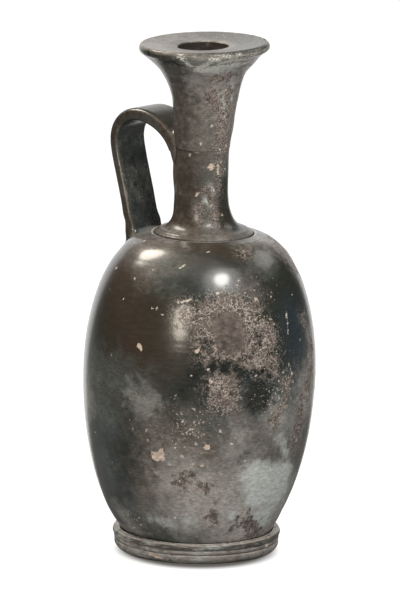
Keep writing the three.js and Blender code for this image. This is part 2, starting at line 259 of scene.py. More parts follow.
def neck_outline():
    """The lower spigot, the collar, the wall, the upper spigot and the bore."""
    foot, top = neck_low.z, neck_high.z
    edge_foot = SEAT_LEVEL + 1.1
    edge_centre = (GROOVE_INNER - GROOVE_ROUND, SEAT_LEVEL + COLLAR_HEIGHT - GROOVE_ROUND)
    return np.concatenate([
        line((NECK_BORE, foot), (SPIGOT_RADIUS, foot), 2),
        line((SPIGOT_RADIUS, foot), (SPIGOT_RADIUS, SEAT_LEVEL), 3),
        line((SPIGOT_RADIUS, SEAT_LEVEL), (GROOVE_INNER, SEAT_LEVEL), 4),
        line((GROOVE_INNER, SEAT_LEVEL), (GROOVE_INNER, edge_foot), 3),
        arc(edge_centre, GROOVE_ROUND, GROOVE_ROUND, -10, 60, 4),
        neck_wall(70),
        [(NECK_RADIUS, SEAM_TOP), (SPIGOT_RADIUS, SEAM_TOP), (SPIGOT_RADIUS, top)],
        line((NECK_BORE, top), (NECK_BORE, foot), 16),
    ])


def mouth_wall(steps):
    """The mouth's outside: up from its seam, out in a flare, and round the lip."""
    seam = (13.5, SEAM_TOP + 0.2)
    throat = (14.8, SEAM_LEVEL + 16)
    lip_half = 1.8
    lip = arc((LIP_RADIUS - lip_half, TOP_LEVEL - lip_half), lip_half, 2.1, -58, 95, 24)
    step = curve(seam, (0, 5), (0, -7), throat, 24)
    flare = curve(throat, (1.3, 16.3), (-10.4, -6.2), lip[0], steps)
    return np.concatenate([step, flare[1:], lip[1:]])


def mouth_outline():
    """The wall, the dished top, the funnel down to the bore, and the socket for the neck."""
    dish_edge = (15, TOP_LEVEL - 1.3)
    brink = (12.2, TOP_LEVEL - 2.2)
    well = (10.4, TOP_LEVEL - 8)
    bore_top = (NECK_BORE, SOCKET_TOP + 11)
    turn = curve(dish_edge, (-1.8, -0.05), (0.2, 0.7), brink, 14)
    fall = curve(brink, (-0.2, -1.8), (0.6, 2), well, 12)
    funnel = curve(well, (-1, -4), (0, TOP_LEVEL - 20 - bore_top[1]), bore_top, 18)
    wall = mouth_wall(80)
    return np.concatenate([
        [(13.3, SEAM_TOP)],
        wall,
        line(wall[-1], dish_edge, 24)[1:],
        turn[:-1],
        fall[:-1],
        funnel,
        [(NECK_BORE, SOCKET_TOP), (SOCKET_RADIUS, SOCKET_TOP), (SOCKET_RADIUS, SEAM_TOP)],
    ])


def handle_centreline(steps):
    """Out from the neck, over the crown, down to the shoulder."""
    landing_radius, landing_depth = 39.8, 3
    root = (5.5, SEAM_LEVEL - 9.5)
    crown = (35, SEAM_LEVEL + 13.65)
    widest = (51.35, SEAM_LEVEL - 0.7)
    shoulder = np.interp(landing_radius, *upper_body_wall(UPPER_STEPS)[::-1].T)
    arch = curve(root, (3.5, 17.2), (-9.5, 0), crown, steps)
    bend = curve(crown, (9.2, 0), (0, 8.5), widest, steps)
    leg = curve(widest, (0, -9), (0.1, 18.5), (landing_radius, shoulder - landing_depth), steps)
    return np.concatenate([arch, bend[1:], leg[1:]])


# The pot as it came out of the kiln, a little crooked

azimuth = math.radians(CAMERA_AZIMUTH)
VIEWER_RIGHT = np.array([math.cos(azimuth), math.sin(azimuth), 0])
TOWARD_VIEWER = np.array([math.sin(azimuth), -math.cos(azimuth), 0])
# Levels, and how far each stands off the axis, towards the viewer's right
DRIFT = [
    (0, -0.1), (10, -0.2), (20, -0.9), (40, -0.8), (60, -0.4), (100, 0), (130, 0.3), (141, 0.6), (147, 1.0),
    (152, 0.7), (157, 0.8), (162, 0.3), (170, -0.6), (180, -0.9), (195, -0.8), (205, -0.5), (215, 0),
    (224, 0.3), (238, -0.7), (245, -1.9),
]
# The rim is tilted, more and more between these levels
RIM_TILT = math.tan(math.radians(1.9))
TILT_LEVELS = (212, 243)
# The mouth's hole stands a little off the middle of its rim
BORE_DRIFT = 0.7
BORE_LEVELS = (225, 240)
BORE_RADII = (20, 13)
# The handle keeps its place: it stands out past these radii and levels, and ends under its top
HANDLE_RADII = (24, 36)
HANDLE_LEVELS = (156, 162)
HANDLE_TOP = 225


def as_fired(points):
    """Moves points of the true pot to where the kiln left them."""
    points = points.copy()
    radius = np.hypot(points[:, 0], points[:, 1])
    level = points[:, 2]
    across = points @ VIEWER_RIGHT
    on_handle = smooth(*HANDLE_RADII, radius) * smooth(*HANDLE_LEVELS, level)
    by_bore = smooth(*BORE_LEVELS, level) * smooth(*BORE_RADII, radius) * (radius > 0)
    drift = np.interp(level, *zip(*DRIFT)) * (1 - on_handle) + BORE_DRIFT * by_bore
    tilt = RIM_TILT * smooth(*TILT_LEVELS, level) * (1 - on_handle * (level < HANDLE_TOP))
    points += drift[:, None] * VIEWER_RIGHT
    points[:, 2] += tilt * across
    return points


# Camera

camera_data = bpy.data.cameras.new("camera")
camera_data.sensor_width = SENSOR
camera_data.lens = FOCAL_PIXELS * SENSOR / PHOTO_HEIGHT
camera_data.clip_start = CLIP_NEAR
camera_data.clip_end = CLIP_FAR
camera = bpy.data.objects.new("camera", camera_data)
bpy.context.collection.objects.link(camera)
camera.location = (
    CAMERA_DISTANCE * math.sin(azimuth), -CAMERA_DISTANCE * math.cos(azimuth), CAMERA_HEIGHT,
)
roll = Matrix.Rotation(math.radians(CAMERA_ROLL), 3, "Z")
look = (CAMERA_AIM - camera.location).to_track_quat("-Z", "Y").to_matrix() @ roll
camera.rotation_euler = look.to_euler()
bpy.context.scene.camera = camera


# Meshes

def turned(outline, segments):
    """Points of an outline turned round the axis, one row for each of its points."""
    turn = np.arange(segments) * 2 * math.pi / segments
    radius, level = outline.T
    return np.stack([
        np.outer(radius, np.cos(turn)), np.outer(radius, np.sin(turn)), np.outer(level, np.ones(segments)),
    ], axis=2)


def quads(rows, columns, close_rows):
    """Corner numbers of the faces of a grid that closes round its columns."""
    last = rows if close_rows else rows - 1
    i, j = np.meshgrid(np.arange(last), np.arange(columns), indexing="ij")
    here, up = i * columns, (i + 1) % rows * columns
    on = (j + 1) % columns
    return np.stack([here + j, here + on, up + on, up + j], axis=2).reshape(-1, 4)


def grid_normals(grid):
    """Outward directions at the points of a grid."""
    along = np.gradient(grid, axis=0)
    around = np.roll(grid, -1, axis=1) - np.roll(grid, 1, axis=1)
    out = np.cross(around, along)
    return out / np.maximum(np.linalg.norm(out, axis=2), 1e-9)[:, :, None]


def thrown(outline, segments, on_axis):
    """Points, outward directions and faces of a piece thrown on the wheel."""
    grid = turned(outline, segments)
    normals = grid_normals(grid).reshape(-1, 3)
    points = grid.reshape(-1, 3)
    rows = len(outline)
    if not on_axis:
        return points, normals, quads(rows, segments, True).tolist()
    faces = quads(rows - 2, segments, False).tolist()
    points = np.concatenate([points[segments:-segments], [grid[0, 0], grid[-1, 0]]])
    normals = np.concatenate([normals[segments:-segments], [[0, 0, -1], [0, 0, 1]]])
    first, last = len(points) - 2, len(points) - 1
    top = (rows - 3) * segments
    faces += [[first, (j + 1) % segments, j] for j in range(segments)]
    faces += [[last, top + j, top + (j + 1) % segments] for j in range(segments)]
    return points, normals, faces


def add_piece(name, points, faces, wear, node, material):
    """A mesh object in the frame, with its wear kept as named values on its points."""
    mesh = bpy.data.meshes.new(name)
    mesh.from_pydata((points * MM).tolist(), [], faces)
    mesh.shade_smooth()
    for field, values in wear.items():
        kept = mesh.attributes.new(field, "FLOAT", "POINT")
        kept.data.foreach_set("value", values.astype(np.float32))
    mesh.materials.append(material)
    piece = bpy.data.objects.new(name, mesh)
    bpy.context.collection.objects.link(piece)
    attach(piece, "root")
    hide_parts(node)


def probe():
    """The outside of the pot as fired, coarse, to find what a pixel of the photograph shows."""
    segments = 180
    outside = np.concatenate([
        foot_outline()[FOOT_SHOWN], lower_body_wall(40), upper_body_wall(40), neck_wall(30), mouth_wall(40),
    ])
    points = as_fired(turned(outside, segments).reshape(-1, 3))
    return BVHTree.FromPolygons(
        [Vector(p) * MM for p in points], quads(len(outside), segments, False).tolist()
    )


pot_probe = probe()


def touch(pixel):
    """The point of the pot, in mm, that shows at a pixel of the photograph."""
    x = (pixel[0] - PHOTO_WIDTH / 2) / FOCAL_PIXELS
    y = (PHOTO_HEIGHT / 2 - pixel[1]) / FOCAL_PIXELS
    hit = pot_probe.ray_cast(camera.location, look @ Vector((x, y, -1)).normalized())[0]
    return np.array(hit) / MM if hit else None


# Wear, and light and shade painted with it. Marks seen on the photograph: their pixels, counted from its
# top left corner, then half their width in mm. Two or more pixels make a streak.

# Where the gloss is worn through to the clay
WORN = [
    ([(229, 328)], 17), ([(204, 318)], 7), ([(258, 340)], 10), ([(250, 360), (270, 368)], 5),
    ([(213, 357)], 6), ([(221, 380), (224, 398)], 7), ([(287, 380), (284, 402), (274, 422)], 2.6),
    ([(311, 345), (307, 395)], 2.6), ([(188, 314)], 5.5), ([(303, 319)], 1.6),
    ([(302, 400), (296, 440)], 3), ([(185, 479), (203, 487)], 3), ([(243, 520), (262, 540)], 3.5),
    ([(210, 520)], 3), ([(242, 252), (249, 252)], 1.3),
]
# Where the worn patch is rubbed smooth
CALM = [([(226, 326), (232, 340)], 6)]
# Thin grey-green film that the gloss shows through. The streaks down the left and right edges paint the
# backdrop's reflection there, on the right over real wear.
MIST_AND_EDGE_REFLECTION = [
    ([(90, 374), (118, 382), (140, 398)], 6.5), ([(92, 395), (108, 418)], 6),
    ([(150, 515), (190, 530)], 10), ([(205, 425), (250, 425)], 2.5), ([(270, 440), (290, 400)], 7),
    ([(165, 265)], 6), ([(130, 240), (150, 232)], 5), ([(250, 240)], 5), ([(262, 258)], 2),
    # Painted reflection: the streaks at x 87 and x 311 stand in for the backdrop's reflection down the
    # body's edges
    ([(87, 300), (87, 400)], 5),
    ([(311, 330), (310, 400)], 4), ([(112, 248), (126, 240)], 5), ([(104, 452), (112, 480)], 1),
]
# Pinkish grey haze
HAZE = [
    ([(155, 435), (205, 455)], 7), ([(175, 490), (225, 500)], 14), ([(240, 525), (262, 520)], 12),
    ([(190, 430)], 4), ([(250, 290)], 1), ([(240, 425), (262, 440)], 5),
    ([(128, 236), (142, 228), (152, 226)], 7), ([(140, 241), (165, 243)], 4), ([(248, 238), (264, 241)], 5),
    ([(305, 385), (300, 420)], 5), ([(150, 270)], 1), ([(262, 452), (295, 448)], 4),
    ([(150, 465), (152, 512)], 4),
]
# Light grey film. The streaks down the left and right edges paint the backdrop's reflection there, on the
# right over real wear.
FILM_AND_EDGE_REFLECTION = [
    ([(180, 484), (235, 490)], 10), ([(196, 510), (240, 515)], 14), ([(248, 522), (270, 512)], 20),
    ([(286, 492), (279, 525)], 9), ([(222, 474), (250, 472)], 5), ([(170, 462), (200, 468)], 2.5),
    ([(307, 380), (305, 405)], 3), ([(139, 400), (146, 401)], 1), ([(130, 238), (142, 231)], 4),
    ([(250, 239), (262, 241)], 2), ([(230, 455), (240, 440)], 2), ([(225, 537), (262, 537)], 6),
    # Painted reflection: the streak at x 312 here and the one at x 86 on the next line stand in for the
    # backdrop's reflection down the edges
    ([(262, 525)], 7), ([(276, 414), (284, 424)], 3), ([(312, 338), (310, 398)], 3),
    ([(122, 514), (140, 537)], 1), ([(86, 322), (86, 398)], 5),
]
# Pale blue-grey bloom, which on the lower right also paints the sheen of the floor's reflection
BLOOM_AND_FLOOR_SHEEN = [
    ([(256, 476), (282, 478)], 8), ([(260, 494), (278, 492)], 8), ([(264, 514)], 7), ([(232, 516)], 2),
    ([(188, 521)], 2), ([(152, 518), (172, 526)], 1), ([(279, 436), (286, 456)], 1),
]
# Where the gloss is whole and dark, also inside other wear
GLOSSY_DARK = [
    ([(258, 398)], 8), ([(215, 367), (226, 370)], 3.2), ([(240, 373), (268, 374)], 1.2),
    ([(125, 404)], 1.4), ([(200, 372), (180, 390)], 4), ([(256, 335), (259, 341)], 1.3),
    ([(226, 343)], 1.0), ([(205, 343), (209, 347)], 1.2),
]
# Brown stains
STAINS = [
    ([(216, 503), (219, 501)], 0.7), ([(214, 512), (213, 517)], 1.3), ([(246, 527)], 0.2),
    ([(232, 528), (228, 533)], 0.9), ([(262, 518)], 0.3), ([(228, 523), (236, 520)], 0.6),
]
# Where the slip is thick and blue-black, and where it is thin and brown
COOL = [
    ([(98, 430), (108, 490)], 13), ([(295, 320), (300, 400)], 9), ([(258, 400)], 11),
    ([(88, 350), (92, 420)], 5), ([(205, 275), (245, 285)], 4), ([(285, 430)], 6),
]
WARM = [([(120, 275), (138, 345)], 17), ([(165, 248), (235, 254)], 9), ([(120, 370), (124, 395)], 4)]
# Places strewn with fine light specks
SPECKS = [
    ([(258, 318), (268, 350)], 13), ([(195, 308)], 6), ([(222, 385)], 9), ([(190, 430)], 16),
    ([(275, 395)], 14), ([(262, 295)], 10), ([(130, 520)], 6), ([(245, 362)], 8), ([(200, 478)], 6),
    ([(292, 440), (288, 470)], 5), ([(307, 345), (307, 395)], 6),
]
# Chips that show pale clay
CHIPS = [
    ([(256, 299)], 0.9), ([(218, 293)], 0.8), ([(207, 448)], 1.2), ([(156, 456)], 2.5),
    ([(161, 450), (162, 458)], 1.2), ([(196, 352), (200, 347)], 0.6), ([(139, 345), (141, 349)], 0.8),
    ([(221, 432)], 0.7), ([(211, 167)], 1.6), ([(218, 165), (218, 174)], 0.6),
    ([(196, 195), (198, 193)], 0.6), ([(226, 90)], 0.5), ([(203, 465)], 0.9),
    ([(205, 447), (209, 446)], 0.7), ([(211, 379), (210, 384)], 0.6),
]
FOOT_CHIPS = [
    ([(243, 537), (250, 537)], 1.5), ([(187, 542)], 1.0), ([(267, 545)], 1.2),
    ([(150, 554), (162, 558)], 0.5),
]
# Crust of lime under the lip
LIP_LIME = [
    ([(180, 56), (184, 61), (191, 66)], 1.0), ([(199, 68), (206, 65), (212, 61), (218, 61)], 1.7),
    ([(204, 71), (219, 67), (237, 63)], 1.6), ([(221, 63), (230, 61)], 1.3), ([(243, 62), (255, 57)], 0.9),
    ([(233, 60), (247, 58)], 0.9), ([(196, 70), (204, 72)], 0.9), ([(222, 57), (240, 55)], 0.3),
]
# Painted shade: a dark glossy band under the lip's left side
LIP_SHADE = [([(148, 55), (160, 60), (174, 63)], 2.2)]
# Where the lip and the neck are filmed over with grey, under the lip and down the viewer's right
GREY_FILM = [
    ([(208, 70), (236, 66)], 2.5), ([(221, 96), (226, 125)], 2.2), ([(210, 186), (212, 192)], 1.2),
    ([(206, 200), (211, 205)], 1.5), ([(232, 84), (230, 100)], 1.5),
]
NECK_WORN = [
    ([(216, 94), (222, 122), (218, 148)], 2.6), ([(218, 162), (221, 172)], 1.4),
    ([(218, 176), (219, 192)], 1.2), ([(206, 190), (214, 205), (214, 222)], 1.5),
    ([(229, 90), (226, 150)], 2), ([(198, 208), (201, 222)], 1), ([(213, 80), (228, 78)], 1.8),
    ([(208, 92), (209, 104)], 1.2),
]
# Single flecks, by their pixels
FLECKS = [
    (116, 268), (110, 289), (123, 299), (152, 308), (157, 309), (163, 314), (135, 278), (153, 270),
    (134, 243), (144, 241), (134, 229), (208, 252), (239, 280), (252, 277), (258, 284), (255, 291),
    (245, 293), (237, 286), (292, 295), (286, 317), (274, 324), (270, 319), (275, 332), (271, 408),
    (265, 412), (293, 382), (209, 358), (212, 382), (234, 396), (256, 376), (232, 445), (183, 457),
    (201, 466), (177, 445), (182, 422), (111, 355), (138, 367), (126, 376), (136, 393), (141, 398),
    (178, 354), (191, 376), (195, 389), (175, 398), (180, 398), (193, 408), (180, 418), (150, 414),
    (130, 420), (133, 429), (147, 430), (208, 369), (128, 515), (134, 527), (137, 533), (139, 518),
    (141, 525), (162, 518), (164, 522), (222, 215), (197, 536), (147, 548), (156, 557), (190, 155),
    (184, 318), (188, 311), (193, 322), (178, 302), (191, 300), (201, 144), (226, 146), (220, 150),
    (212, 126), (225, 169), (221, 162), (214, 190), (194, 389), (176, 396), (165, 407), (195, 410),
    (183, 421), (146, 431), (220, 431), (235, 437), (231, 444), (176, 444), (175, 448), (181, 456),
    (193, 464), (169, 465), (155, 472), (148, 441), (139, 459), (179, 481), (260, 461), (245, 461),
    (169, 517), (175, 518), (137, 520), (112, 462), (95, 432), (99, 488), (90, 445), (293, 352),
    (297, 365), (300, 340), (283, 372), (279, 381),
]
BODY_FLECKS = [([pixel], 0.4) for pixel in FLECKS]
OTHER_FLECKS = [([pixel], 0.5) for pixel in FLECKS]
# Scratches; the last, from (178, 303) to (190, 300), is a painted highlight: a glint on the gloss
SCRATCHES_AND_GLINT = [
    ([(180, 268), (185, 265)], 0.2), ([(286, 310), (288, 334)], 0.3), ([(289, 364), (292, 375)], 0.4),
    ([(178, 303), (190, 300)], 0.3),
]
# Notches in the far edge of the lip: how far each stands to the viewer's right of the axis, and its size
RIM_NOTCHES = [(23.9, 1.8), (27.2, 1.5), (31.2, 1.9), (-20, 1.1)]
# Levels of the foot, and how much its slip is lightened or darkened at each: partly rubbed thin by
# handling, most on its crests, and partly painted light, lighter where the crests catch light and painted
# shade in the grooves and on the torus's top
RUBBED_AND_PAINTED_LIGHT = [
    (0, 0.2), (0.5, 0.5), (1, 0.5), (3.3, 0.5), (3.9, 0.9), (4.2, 0.9), (4.5, -0.1), (4.9, 0.4),
    (6.6, 0.45), (7.0, -0.1), (7.5, -0.3), (9.0, -0.3), (9.4, 0.9), (9.8, 1.3),
]

# Kinds of wear on the body, some also painting light: how strong each gets, its marks, and over how many mm
# its edges fade; then, for the side that the photograph doesn't show, how many there are, the least and
# greatest size, and the seed
BODY_WEAR = {
    "mist": (0.8, MIST_AND_EDGE_REFLECTION, 24, 8, 6, 12, 31),
    "haze": (0.85, HAZE, 24, 8, 6, 14, 12),
    "film": (0.9, FILM_AND_EDGE_REFLECTION, 22, 6, 5, 12, 21),
    "bloom": (1, BLOOM_AND_FLOOR_SHEEN, 10, 5, 4, 8, 15),
    "worn": (1, WORN, 12, 9, 3, 14, 11),
    "stain": (1, STAINS, 5, 8, 1, 2.5, 22),
    "glossy_dark": (1, GLOSSY_DARK, 10, 10, 2, 8, 16),
    "chip": (1, CHIPS, 2.4, 14, 0.8, 2, 13),
    "specks": (1, SPECKS, 30, 6, 12, 25, 17),
    "fleck": (1, BODY_FLECKS + SCRATCHES_AND_GLINT, 3, 90, 0.2, 0.7, 14),
    "cool": (1, COOL, 22, 7, 6, 12, 18),
    "warm": (1, WARM, 30, 5, 12, 22, 19),
}
# The unseen side, in degrees round the pot from the viewer, and the levels its marks lie between
UNSEEN_TURN = (85, 275)
UNSEEN_LEVELS = (14, 148)
# Over how many mm the edges of other marks fade
CHIP_EDGE = 2.4
FLECK_EDGE = 3
LIME_EDGE = 3.5
NOTCH_EDGE = 2.2
PATCH_EDGE = 6
CALM_EDGE = 8


def marked(points, marks, softness):
    """How far each point lies inside a set of marks: 1 well inside, half on an edge, -1 far outside."""
    inside = np.full(len(points), -1.0)
    for pixels, radius in marks:
        places = [touch(p) if len(p) == 2 else np.array(p) for p in pixels]
        places = [p for p in places if p is not None]
        nearest = np.full(len(points), 1e9)
        for a, b in zip(places, places[1:] or places):
            along = b - a
            share = np.clip((points - a) @ along / max(along @ along, 1e-9), 0, 1)
            nearest = np.minimum(nearest, np.linalg.norm(points - a - share[:, None] * along, axis=1))
        inside = np.maximum(inside, np.clip(0.5 + (radius - nearest) / softness, -1, 1))
    return inside


def cloud(points, grain, seed, octaves=3):
    """Smooth noise between about -1 and 1, with the given grain in mm."""
    offset = Vector((seed * 7.3, seed * 3.1, seed * 5.7))
    return np.array([noise.fractal(Vector(p) / grain + offset, 1.0, 2.0, octaves) for p in points])


wall_line = np.concatenate([lower_body_wall(60)[:-1], upper_body_wall(60)])


def body_radius(level):
    """The body's radius at a level."""
    return np.interp(level, wall_line[:, 1], wall_line[:, 0])


def unseen_marks(count, smallest, largest, seed):
    """Marks on the side of the body that the photograph doesn't show, scattered in the same manner."""
    draw = random.Random(seed)
    marks = []
    for _ in range(count):
        turn = math.radians(CAMERA_AZIMUTH - 90 + draw.uniform(*UNSEEN_TURN))
        level = draw.uniform(*UNSEEN_LEVELS)
        radius = float(body_radius(level))
        place = (radius * math.cos(turn), radius * math.sin(turn), level)
        marks.append(([place], draw.uniform(smallest, largest)))
    return marks


# Finishes

def add(tree, kind, inputs=None, **settings):
    """Adds a node with its settings, values and links."""
    made = tree.nodes.new("ShaderNode" + kind)
    for name, value in settings.items():
        setattr(made, name, value)
    for name, value in (inputs or {}).items():
        if isinstance(value, bpy.types.NodeSocket):
            tree.links.new(value, made.inputs[name])
        else:
            made.inputs[name].default_value = value
    return made


# Black-gloss slip is a wash of the finest clay, rich in iron, brushed on, burnished and fired without air.
# It gives the eye a black that turns brown where the wash is thin and blue where it is thick.
SLIP_BLACK = "#252823"
SLIP_BROWN = "#362d25"
SLIP_BLUE = "#27323a"
# Small clouds where it was brushed on unevenly: their grain in mm, and the colour of its thinnest
BRUSH_GRAIN = 5
SLIP_THIN = "#4d4b43"
# It fuses to a glassy skin with the refraction of soft glass. The clay under it reflects less.
SKIN_IOR = 1.45
SKIN_ROUGHNESS = 0.17
CLAY_SPECULAR = 0.25
# The skin is finely pitted. The real pits are a tenth of this wide, too fine to show in the render.
PIT_GRAIN = 1.1
PIT_DEPTH = 0.16
PIT_STRENGTH = 0.35

# Wear this rough has taken the glassy skin off, but for this share of it
BARE_ROUGHNESS = 0.5
BARE_COAT = 0.25
# The wear's own colours run in faint streaks round the pot
STREAK = (0.8, 0.8, 1.7)
# Each layer's edge is cut from a slice of noise of its own, and its colours from one this much further on
COLOUR_SLICE = 20

# Wear over the slip, from the lowest film up, and the light and shade painted with it: inside paints shade
# down the mouth's well, glossy_dark also paints shade under the lip, mist, haze and film also paint the lit
# crests and shaded grooves of the foot, highlights on the handle and the backdrop's reflection down the
# body's edges, bloom the floor's sheen on the lower body, and fleck one glint. Each layer has its field on
# the mesh and the share of it that counts, the grain in mm of its edge, how ragged and how soft that edge
# is, two colours and their grain in mm, its roughness, and how thin its veins are, or 0 where it lies in
# patches.
LAYERS = [
    # The inside layer paints shade, a colour darker than the slip, down the mouth's well
    ("inside", 1, 4, 0.1, 0.2, "#1c1917", "#2b2522", 3, 0.75, 0),
    ("mist", 1, 6, 0.6, 0.5, "#414846", "#616866", 2, 0.36, 0),
    ("haze", 1, 5, 0.6, 0.5, "#534c49", "#807873", 1.6, 0.42, 0),
    ("film", 1, 5, 0.7, 0.45, "#7b7875", "#a5a3a0", 1.6, 0.4, 0),
    ("bloom", 1, 5, 0.7, 0.25, "#929795", "#b5bab8", 2.2, 0.36, 0),
    ("worn", 1, 4, 1.4, 0.08, "#433c39", "#665d58", 2.2, 0.5, 0),
    ("pitted", 0.37, 1.7, 1.2, 0.07, "#1f1d1b", "#393430", 1.1, 0.4, 0),
    ("veined", 0.33, 1.0, 1.1, 0.07, "#7b726b", "#a0978f", 0.7, 0.7, 0),
    ("veined", 0.33, 3.2, 0.5, 0.07, "#857c76", "#b8b0a9", 0.7, 0.7, 9),
    ("stain", 1, 3, 0.9, 0.2, "#4a4340", "#625954", 2, 0.45, 0),
    ("glossy_dark", 1, 4, 1.0, 0.25, "#191c1b", "#2c2f2c", 3, 0.2, 0),
    ("chip", 1, 1.5, 0.9, 0.06, "#9a8b80", "#c9b9ab", 1.5, 0.8, 0),
    ("lime", 1, 1.6, 1.5, 0.12, "#8b8c86", "#c9cbc5", 0.9, 0.8, 0),
    ("specks", 0.36, 1.1, 1.0, 0.05, "#948b82", "#c9c0b6", 0.8, 0.7, 0),
    ("fleck", 1, 0.9, 0.7, 0.06, "#9c9288", "#d4cdc4", 1.0, 0.75, 0),
]
FIELDS = [layer[0] for layer in LAYERS] + ["cool", "warm"]


def whole_slip(tree, place, roughness):
    """The colour and roughness of the slip where nothing has worn it."""
    colour = rgb(SLIP_BLACK)
    for field, tint in (("warm", SLIP_BROWN), ("cool", SLIP_BLUE)):
        level = add(tree, "Attribute", attribute_name=field).outputs["Fac"]
        colour = add(tree, "MixRGB", {"Fac": level, "Color1": colour, "Color2": rgb(tint)}).outputs[0]
    round_pot = add(tree, "Mapping", {"Vector": place, "Scale": (1, 1, 4)}).outputs[0]
    clouds = add(tree, "TexNoise", {
        "Vector": round_pot, "Scale": 1 / (BRUSH_GRAIN * MM), "Detail": 6, "Roughness": 0.65,
    }).outputs[0]
    thin = add(tree, "MapRange", {
        "Value": clouds, "From Min": 0.45, "From Max": 0.75, "To Max": 0.25,
    }).outputs[0]
    colour = add(tree, "MixRGB", {"Fac": thin, "Color1": colour, "Color2": rgb(SLIP_THIN)}).outputs[0]
    rough = add(tree, "MapRange", {
        "Value": clouds, "From Min": 0.3, "From Max": 0.7,
        "To Min": roughness - 0.03, "To Max": roughness + 0.05,
    }).outputs[0]
    return colour, rough


def layer_cover(tree, place, number, field, share, edge, ragged, soft, veins):
    """How far a layer of wear covers what lies under it, from 0 to 1."""
    level = add(tree, "Attribute", attribute_name=field).outputs["Fac"]
    level = add(tree, "Math", {0: level, 1: share, 2: -ragged}, operation="MULTIPLY_ADD").outputs[0]
    noisy = add(tree, "TexNoise", {
        "Vector": place, "Scale": 1 / (edge * MM), "Detail": 6, "Roughness": 0.62, "W": number,
    }, noise_dimensions="4D").outputs[0]
    # Veins lie where the noise crosses its middle value
    if veins:
        noisy = add(tree, "Math", {0: noisy, 1: 2, 2: -1}, operation="MULTIPLY_ADD").outputs[0]
        noisy = add(tree, "Math", {0: noisy}, operation="ABSOLUTE").outputs[0]
        noisy = add(tree, "Math", {0: noisy, 1: -veins, 2: 1}, operation="MULTIPLY_ADD").outputs[0]
    level = add(tree, "Math", {0: noisy, 1: 2 * ragged, 2: level}, operation="MULTIPLY_ADD").outputs[0]
    return add(tree, "MapRange", {
        "Value": level, "From Min": 0.5 - soft, "From Max": 0.5 + soft,
    }).outputs[0]


def worn_gloss(name, roughness, coat, grain, upright):
    """Black-gloss slip with the wear of a dug-up pot.

    grain is the size of its marks against those of the body, and upright stretches them along the height.
    """
    material = bpy.data.materials.new(name)
    material.use_nodes = True
    tree = material.node_tree
    place = add(tree, "TexCoord").outputs["Object"]
    stretched = (1 / grain, 1 / grain, 1 / grain / upright)
    place = add(tree, "Mapping", {"Vector": place, "Scale": stretched}).outputs[0]
    streaky = add(tree, "Mapping", {"Vector": place, "Scale": STREAK}).outputs[0]
    colour, rough = whole_slip(tree, place, roughness)
    coat_left = coat
    for i, (field, share, edge, ragged, soft, dark, light, fine, layer_rough, veins) in enumerate(LAYERS):
        cover = layer_cover(tree, place, i, field, share, edge, ragged, soft, veins)
        noisy = add(tree, "TexNoise", {
            "Vector": streaky, "Scale": 1 / (fine * MM), "Detail": 4, "Roughness": 0.6,
            "W": COLOUR_SLICE + i,
        }, noise_dimensions="4D").outputs[0]
        own = add(tree, "MapRange", {"Value": noisy, "From Min": 0.36, "From Max": 0.64}).outputs[0]
        own = add(tree, "MixRGB", {"Fac": own, "Color1": rgb(dark), "Color2": rgb(light)}).outputs[0]
        colour = add(tree, "MixRGB", {"Fac": cover, "Color1": colour, "Color2": own}).outputs[0]
        rough = add(tree, "Mix", {0: cover, 2: rough, 3: layer_rough}).outputs[0]
        if layer_rough >= BARE_ROUGHNESS:
            coat_left = add(tree, "Mix", {0: cover, 2: coat_left, 3: BARE_COAT * coat}).outputs[0]

    pits = add(tree, "TexNoise", {
        "Vector": place, "Scale": 1 / (PIT_GRAIN * MM), "Detail": 5, "Roughness": 0.7,
    }).outputs[0]
    bump = add(tree, "Bump", {
        "Strength": PIT_STRENGTH, "Distance": PIT_DEPTH * MM, "Height": pits,
    }).outputs[0]
    shader = tree.nodes["Principled BSDF"]
    driven = {"Base Color": colour, "Roughness": rough, "Normal": bump, "Coat Weight": coat_left}
    for socket, value in driven.items():
        tree.links.new(value, shader.inputs[socket])
    shader.inputs["IOR"].default_value = SKIN_IOR
    shader.inputs["Coat Roughness"].default_value = SKIN_ROUGHNESS
    shader.inputs["Specular IOR Level"].default_value = CLAY_SPECULAR
    return material


# On the body the slip was burnished most. It shows lamps as clear spots with a soft edge, and it is worn
# through, filmed and speckled in patches.
body_gloss = worn_gloss("worn_black_gloss_slip", 0.3, 0.7, 1, 1)
# On the foot it was put on while the wheel turned, and rubbed off the crests by hands and shelves. It is
# duller, and its wear runs in streaks round the rings, with painted light on the crests and painted shade
# in the grooves.
foot_gloss = worn_gloss("rubbed_black_gloss_slip", 0.32, 0.3, 0.8, 0.25)
# On the neck and the mouth it was brushed thin and burnished little. It has a satin shine and finer wear.
satin_gloss = worn_gloss("satin_black_gloss_slip", 0.29, 0.3, 0.6, 0.8)
# On the handle it was wiped on along the strap and polished by holding. It is darker and smoother, and its
# wear runs along the strap.
handle_gloss = worn_gloss("handled_black_gloss_slip", 0.26, 0.4, 0.7, 1.5)


def no_wear(points):
    """Every kind of wear, and none of it anywhere yet."""
    return {field: np.full(len(points), -1.0) for field in FIELDS}


# Body

# The film layer is laid along the outside of the groove at the collar, this wide, on the seat's level
GROOVE_FILM_WIDTH = 0.6
GROOVE_FILM_LEVELS = (153, 155)
# Turning rings that can hardly be felt: their depth and spacing. They fade out under the shoulder.
TURNING_RINGS = [(0.012, 7.1), (0.008, 2.9)]
RINGS_FADE = (140, 128)
# Only points this near to the outside carry wear
SKIN_DEPTH = 1.5
# How far the wall dents in and out, and how deep worn patches and chips lie
DENT_DEPTH = 0.15
DENT_GRAIN = 38
WORN_DEPTH = 0.15
CHIP_DEPTH = 0.2


